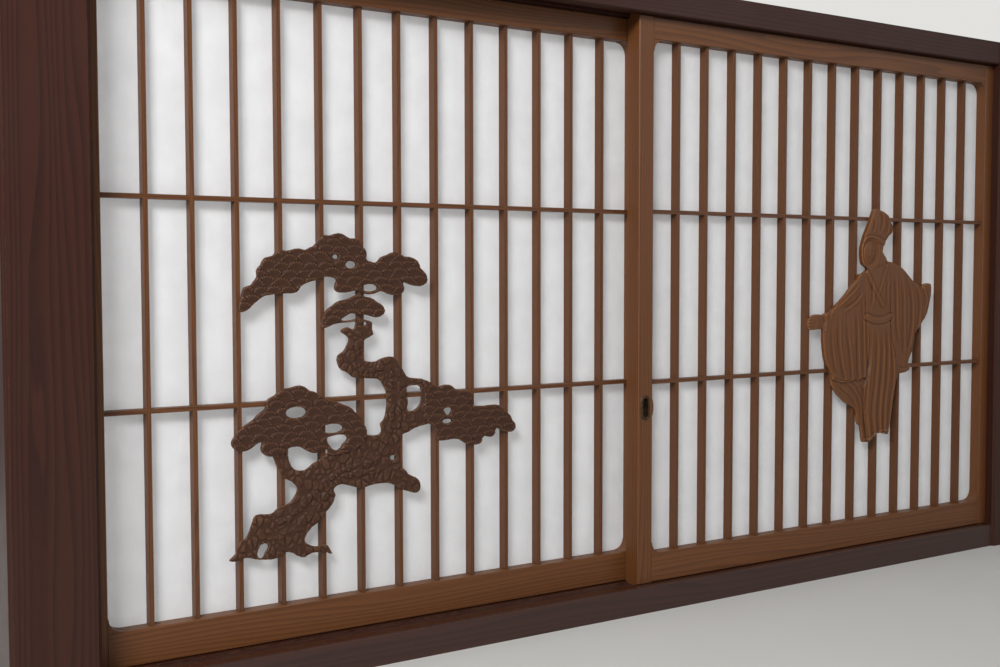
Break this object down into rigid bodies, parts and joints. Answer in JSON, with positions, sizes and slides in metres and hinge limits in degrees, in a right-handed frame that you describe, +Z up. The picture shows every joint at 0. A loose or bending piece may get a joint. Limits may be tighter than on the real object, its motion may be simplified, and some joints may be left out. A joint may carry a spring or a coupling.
{
  "type": "shoji sliding screen",
  "caption": "Paper-backed sliding panels in a wooden head, sill and posts, with close upright lattice bars, a fretted pine carving and a robed figure carved in relief.",
  "frame": {"origin": "middle of the underside, level with the undersides of the sill and the posts", "axes": "+X along the width towards the figure's panel, +Y away from the room, +Z up"},
  "size_m": [1.925, 0.105, 0.985],
  "materials": {
    "frame_wood": "dark reddish-brown stain, satin, worn pale along the front arris of the sill",
    "panel_wood": "aged honey-brown softwood, bare and lightly polished by handling",
    "pine_wood": "dark brown carved wood, satin",
    "figure_wood": "honey-brown carved wood, satin",
    "paper": "translucent white paper with fine fibres",
    "pull_metal": "dark patinated"
  },
  "bodies": {
    "frame": {"head_track": "frame_wood", "sill_track": "frame_wood", "left_post": "frame_wood", "right_post": "frame_wood"},
    "left_panel": {"left_panel_outer_stile": "panel_wood", "left_panel_meeting_stile": "panel_wood", "left_panel_top_rail": "panel_wood", "left_panel_bottom_rail": "panel_wood", "left_panel_lower_level_bar": "panel_wood", "left_panel_upper_level_bar": "panel_wood", "left_panel_corner_top_left": "panel_wood", "left_panel_corner_top_right": "panel_wood", "left_panel_corner_bottom_left": "panel_wood", "left_panel_corner_bottom_right": "panel_wood", "left_panel_paper": "paper", "left_panel_bar_01": "panel_wood", "left_panel_bar_02": "panel_wood", "left_panel_bar_03": "panel_wood", "left_panel_bar_04": "panel_wood", "left_panel_bar_05": "panel_wood", "left_panel_bar_06": "panel_wood", "left_panel_bar_07": "panel_wood", "left_panel_bar_08": "panel_wood", "left_panel_bar_09": "panel_wood", "left_panel_bar_10": "panel_wood", "left_panel_bar_11": "panel_wood", "left_panel_bar_12": "panel_wood", "left_panel_bar_13": "panel_wood", "left_panel_pine_carving": "pine_wood"},
    "right_panel": {"right_panel_outer_stile": "panel_wood", "right_panel_meeting_stile": "panel_wood", "right_panel_top_rail": "panel_wood", "right_panel_bottom_rail": "panel_wood", "right_panel_lower_level_bar": "panel_wood", "right_panel_upper_level_bar": "panel_wood", "right_panel_corner_top_left": "panel_wood", "right_panel_corner_top_right": "panel_wood", "right_panel_corner_bottom_left": "panel_wood", "right_panel_corner_bottom_right": "panel_wood", "right_panel_paper": "paper", "right_panel_bar_01": "panel_wood", "right_panel_bar_02": "panel_wood", "right_panel_bar_03": "panel_wood", "right_panel_bar_04": "panel_wood", "right_panel_bar_05": "panel_wood", "right_panel_bar_06": "panel_wood", "right_panel_bar_07": "panel_wood", "right_panel_bar_08": "panel_wood", "right_panel_bar_09": "panel_wood", "right_panel_bar_10": "panel_wood", "right_panel_bar_11": "panel_wood", "right_panel_bar_12": "panel_wood", "right_panel_bar_13": "panel_wood", "right_panel_figure_carving": "figure_wood", "right_panel_finger_pull": "pull_metal"}
  },
  "joints": [
    {"name": "left_panel_slide", "type": "slide", "parent": "frame", "child": "left_panel", "axis": [1, 0, 0], "range_m": [0, 0.836]},
    {"name": "right_panel_slide", "type": "slide", "parent": "frame", "child": "right_panel", "axis": [-1, 0, 0], "range_m": [0, 0.836]}
  ]
}
